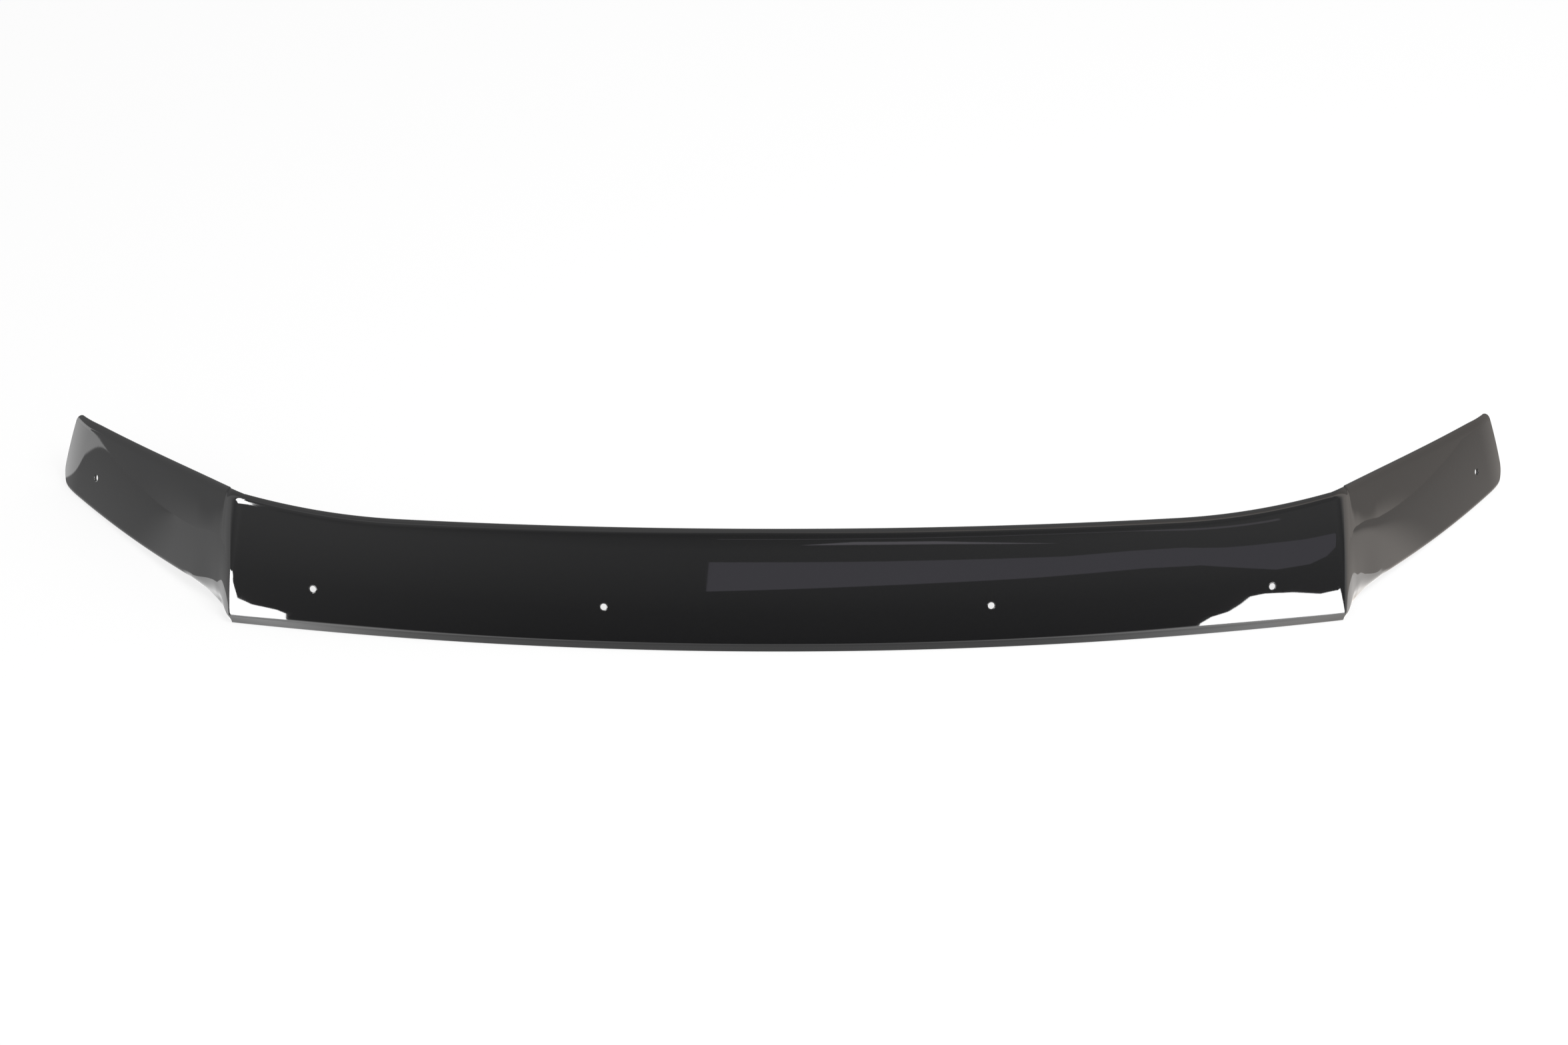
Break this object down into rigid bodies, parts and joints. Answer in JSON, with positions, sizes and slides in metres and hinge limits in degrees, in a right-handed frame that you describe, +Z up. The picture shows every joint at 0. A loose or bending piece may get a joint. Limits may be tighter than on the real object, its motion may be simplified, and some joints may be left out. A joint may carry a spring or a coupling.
{
  "type": "hood bug deflector",
  "caption": "Glossy black formed sheet that guards a hood's front edge: a long leaning face, folded swept-back wings, a bottom flange, a rolled top lip and screw holes.",
  "frame": {"origin": "on the floor, at the middle of the footprint", "axes": "+Z up, +X along the deflector's length, front face towards -Y, wings swept back towards +Y"},
  "size_m": [1.4, 0.293, 0.0983],
  "materials": {
    "gloss_black_acrylic": "glossy"
  },
  "bodies": {
    "root": {"shield": "gloss_black_acrylic"}
  },
  "joints": []
}
